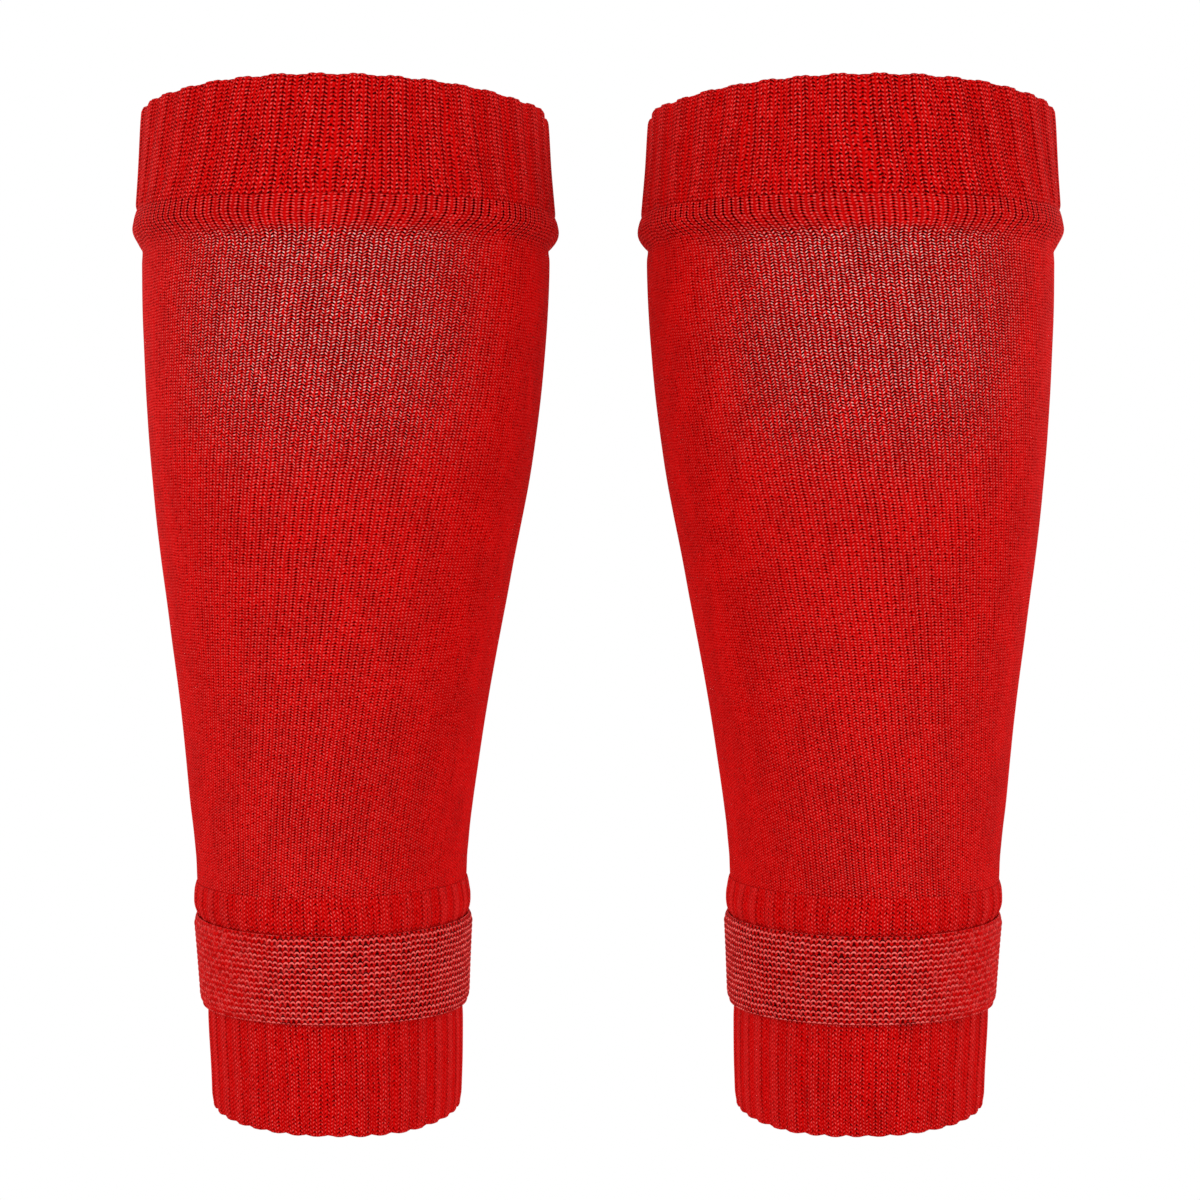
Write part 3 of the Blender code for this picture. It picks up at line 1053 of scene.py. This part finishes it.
# %% Stitches of the leg
leg = Cloth("leg_knit_cloth")
wale, course = leg.stitch_map(WALES, *LEG_WANDER)
openness = leg.attribute("openness")
pale = leg.attribute("pale")
bunched = leg.attribute("bunched")
zigzag = leg.step(pale, 0.0, 0.5)
knit = KnitFace(
    leg,
    wale,
    course,
    slant=leg.scaled(zigzag, *SLANT),
    skew=leg.times(leg.step(course, *SKEW_GROWS), leg.step(course, *SKEW_ENDS)),
    stagger=leg.step(course, *STAGGER_ENDS),
    dot=(leg.scaled(zigzag, *DOT_WIDTH), leg.scaled(zigzag, *DOT_HEIGHT)),
    aside=leg.scaled(pale, *DOT_ASIDE),
    line=leg.times(bunched, 0.5),
    in_v=leg.scaled(zigzag, *IN_V),
)

# %% Colour of the leg
patches = leg.noise(PATCHES)[0]
body = leg.grained(leg.mix(leg.step(patches, 0.35, 0.65), SCARLET_DEEP, SCARLET))
# Painted shade in the slot between two loops of a column
shaded = leg.mix(leg.times(knit.slot, leg.scaled(openness, *SLOT_SHADE)), body, SHADE_BETWEEN_LOOPS)
# Painted highlight on the crest of each loop, whitish where the cloth is pale
crest = leg.mix(leg.times(pale, leg.scaled(knit.loop[2], *PALE_CHANCE)), CREST_HIGHLIGHT, PALE_CREST_HIGHLIGHT)
dot_share = leg.times(knit.dot, leg.scaled(knit.loop[0], *DOT_CHANCE), leg.scaled(openness, *DOT_BRIGHT))
lit = leg.mix(dot_share, shaded, crest)

streaks = leg.spread(leg.noise(LEG_STREAKS)[0], 0.6)
often = leg.plus(leg.plus(streaks, leg.scaled(openness, *PINHOLES_OFTEN)), leg.times(bunched, 0.5))
open_here = leg.step(leg.minus(often, knit.gap[0]), *HOLE_SOFTNESS)
dark = leg.scaled(leg.larger(openness, bunched), *PINHOLES_DARK)
pin_share = leg.times(knit.pinhole, open_here, dark, leg.scaled(zigzag, *PINHOLES_PALE))
stretched = leg.larger(leg.step(pale, 0.0, 0.6), leg.times(openness, 0.3))
slot_share = leg.times(knit.slot, stretched, leg.scaled(knit.loop[1], *SLOT_CHANCE))
# Painted shade in the pinholes and slots
colour = leg.mix(leg.larger(pin_share, slot_share), lit, HOLE_SHADE)
leg_cloth = leg.finish(colour, knit.yarn, LEG_BUMP_DEPTH, KNIT_BUMP, KNIT_ROUGHNESS)

# %% Numbers of the ribs' knit
RIB_WANDER = (0.2, 0.5)
RIB_STREAKS = (420, 420, 60)
RIB_BUMP_DEPTH = 0.4 * MM
RIB_DOT = (0.55, 0.55)
RIB_ASIDE = 0.2
RIB_IN_V = 0.15
# (where the loops lie close, where they stand open)
# Painted shade in the grooves beside the ribs, and a painted highlight on the proud wales
RIB_GROOVE_SHADE = (0.9, 0.1)
RIB_RIDGE_HIGHLIGHT = (0.09, 0.0)
RIB_SLOT_SHADE = (0.1, 0.4)
RIB_PINHOLES_DARK = (0.3, 0.9)
RIB_SLOT_DARK = (0.15, 1.2)
# (for the weakest loop, for the strongest loop)
RIB_DOT_CHANCE = (0.15, 0.9)
RIB_SLOT_CHANCE = (0.2, 1.3)

# %% Rib knit of the cuffs
def rib_cloth(name, finer, slant, stagger, line, crests, holes):
    """Rib knit: the proud wales show their loops with painted highlights, and pinholes of painted shade run down
    the sides of each rib.

    finer is how many stitches are drawn for each wale, and crests and holes are how strong the painted highlights
    and the painted shade are.
    """
    rib = Cloth(name)
    wale, course = rib.stitch_map(WALES, *RIB_WANDER)
    openness = rib.attribute("openness")
    knit = KnitFace(
        rib, rib.times(wale, finer), course, slant, 0.0, stagger, RIB_DOT, RIB_ASIDE, line, RIB_IN_V
    )
    turn = rib.times(wale, 2 * math.pi / WALES_PER_RIB)
    proud = rib.math("MULTIPLY_ADD", rib.math("SINE", turn), 0.5, 0.5, clamp=True)
    border = rib.size(rib.math("COSINE", turn))

    body = rib.mix(rib.step(rib.noise(PATCHES)[0], 0.3, 0.45), SCARLET_DEEP, SCARLET)
    # Painted shade in the grooves beside each rib, and a painted highlight on the proud wales where the rib lies
    # close
    groove_shade = rib.times(rib.step(border, 0.8, 1.0), rib.scaled(openness, *RIB_GROOVE_SHADE), holes**2)
    ridge = rib.times(proud, proud, rib.scaled(openness, *RIB_RIDGE_HIGHLIGHT))
    body = rib.grained(rib.mix(ridge, rib.mix(groove_shade, body, SHADE_BETWEEN_LOOPS), CREST_HIGHLIGHT))
    # Painted shade between loops, and painted highlights on the crests of the loops, brightest on the proud wales
    shaded = rib.mix(rib.times(knit.slot, rib.scaled(openness, *RIB_SLOT_SHADE)), body, SHADE_BETWEEN_LOOPS)
    bright = rib.times(rib.scaled(proud, 0.5, 1.0), rib.scaled(openness, 0.1, crests))
    lit = rib.mix(rib.times(knit.dot, rib.scaled(knit.loop[0], *RIB_DOT_CHANCE), bright), shaded, CREST_HIGHLIGHT)

    streaks = rib.spread(rib.noise(RIB_STREAKS)[0], 1.2)
    often = rib.plus(streaks, rib.scaled(border, 0.7 * holes, 1.2 * holes))
    open_here = rib.step(rib.minus(often, knit.gap[0]), *HOLE_SOFTNESS)
    # Painted shade in the pinholes and slots
    pin_share = rib.times(knit.pinhole, open_here, rib.scaled(openness, *RIB_PINHOLES_DARK))
    dark = rib.times(rib.scaled(knit.loop[1], *RIB_SLOT_CHANCE), rib.scaled(openness, *RIB_SLOT_DARK), holes**2)
    colour = rib.mix(rib.larger(pin_share, rib.times(knit.slot, dark)), lit, HOLE_SHADE)
    return rib.finish(colour, knit.yarn, RIB_BUMP_DEPTH, KNIT_BUMP, KNIT_ROUGHNESS)


# The stitches of the calf cuff are finer than its wales: five are drawn on each rib of four
calf_cloth = rib_cloth("calf_rib_cloth", finer=1.25, slant=0.4, stagger=0.1, line=0.2, crests=1.0, holes=0.82)
ankle_cloth = rib_cloth("ankle_rib_cloth", finer=1.0, slant=0.55, stagger=0.35, line=0.0, crests=0.9, holes=0.6)

# %% Numbers of the strap's knit
STRAP_WANDER = (0.3, 0.28)
STRAP_BUMP_DEPTH = 0.25 * MM
STRAP_BUMP = 0.7
STRAP_ROUGHNESS = 0.75
ARCH_SHIFT = 0.12
ARCH_HOLE_BELOW = 0.45
ARCH_HOLE_SIZE = (0.36, 0.3)
SHADOW_AT = 0.3
SHADOW_EDGE = (0.22, 0.08)
SPECKS_PER_STITCH = 2.0
# (for the weakest arch, for the strongest arch)
GLOSS_CHANCE = (0.4, 1.1)
SHADOW_CHANCE = (0.5, 1.0)
# (where the rows lie close, where they stand open)
GLOSS_BRIGHT = (0.3, 1.0)
LIGHT_SPECKS = (0.06, 0.05)
DARK_SPECKS = (0.4, 0.1)
ARCH_HOLE_DARK = (0.15, 0.9)
SHADOW_DARK = (0.5, 1.0)

# %% Purl arches of the strap
purl = Cloth("strap_cloth")
stitch, row = purl.stitch_map(STRAP_STITCHES, *STRAP_WANDER)
shows = purl.step(purl.attribute("openness"), 0.55, 0.9)
arch_chance = purl.chance(purl.whole(stitch), purl.whole(row))
across = purl.minus(purl.math("FRACT", stitch), 0.5)
arch_top = purl.plus(ARCH_TOP, purl.spread(arch_chance[2], ARCH_SHIFT))
up = purl.minus(purl.math("FRACT", row), purl.minus(arch_top, purl.times(across, across, ARCH_BEND)))
off_arch = purl.math("MINIMUM", purl.size(up), purl.size(purl.plus(up, 1.0)))
yarn = purl.step(off_arch, ARCH_THICKNESS, 0.0)
pinhole = purl.spot(across, purl.plus(up, ARCH_HOLE_BELOW), *ARCH_HOLE_SIZE)
# Painted shadow along the top of each arch, under the row above
shadow = purl.larger(
    purl.step(purl.size(purl.minus(up, SHADOW_AT)), *SHADOW_EDGE),
    purl.step(purl.plus(up, 1 - SHADOW_AT), *SHADOW_EDGE),
)
speck = purl.chance(
    purl.whole(purl.times(stitch, SPECKS_PER_STITCH)), purl.whole(purl.times(row, SPECKS_PER_STITCH))
)[0]

# %% Colour of the strap
# Painted highlight, as gloss, on the yarn of each arch, and light specks in the whitish highlight colour
apart = purl.step(purl.size(across), 0.5, 0.34)
gloss = purl.times(purl.step(yarn, 0.3, 0.8), apart, purl.scaled(arch_chance[0], *GLOSS_CHANCE))
lit = purl.mix(purl.times(gloss, purl.scaled(shows, *GLOSS_BRIGHT)), purl.grained(SCARLET), STRAP_CREST_HIGHLIGHT)
lit = purl.mix(purl.times(purl.step(speck, 0.65, 1.0), purl.scaled(shows, *LIGHT_SPECKS)), lit, PALE_CREST_HIGHLIGHT)
# Painted shade in the hole under each arch, painted shadow lines above the arches, and dark specks in the same
# shade colour
hole_share = purl.times(pinhole, purl.scaled(shows, *ARCH_HOLE_DARK))
shadow_share = purl.times(
    shadow, purl.scaled(shows, *SHADOW_DARK), purl.scaled(arch_chance[1], *SHADOW_CHANCE)
)
speck_share = purl.times(purl.step(speck, 0.3, 0.1), purl.scaled(shows, *DARK_SPECKS))
dark_share = purl.larger(purl.larger(hole_share, shadow_share), speck_share)
colour = purl.mix(dark_share, lit, HOLE_SHADE)
strap_cloth = purl.finish(colour, yarn, STRAP_BUMP_DEPTH, STRAP_BUMP, STRAP_ROUGHNESS)

# %% [markdown]
# ## Dress the part
# Every piece of cloth rides on the part's one body and stands for its plain solid. The table also gives the size
# that it was knitted to: the knit is stretched on the leg, so each cut is smaller than what shows.

# %% Materials, body and hidden solids of the pieces
# (pieces, node, material, slot, width of the cut, length of the cut, what it is sewn to)
DRESSING = (
    (calf_cuffs, "calf_cuff_", calf_cloth, "calf_cuff_knit", 0.30, 0.034, None),
    (leg_tubes, "leg_tube_", leg_cloth, "leg_knit", 0.24, 0.225, "calf_cuff_knit_"),
    (ankle_cuffs, "ankle_cuff_", ankle_cloth, "ankle_cuff_knit", 0.216, 0.074, "leg_tube_knit_"),
    (straps, "ankle_strap_", strap_cloth, "strap_knit", 0.25, 0.028, "ankle_cuff_knit_"),
)
for pieces, node, cloth, slot, width, length, sewn_to in DRESSING:
    for piece, word in zip(pieces, ("left", "right")):
        piece.data.materials.append(cloth)
        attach(piece, "root")
        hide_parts(node + word)
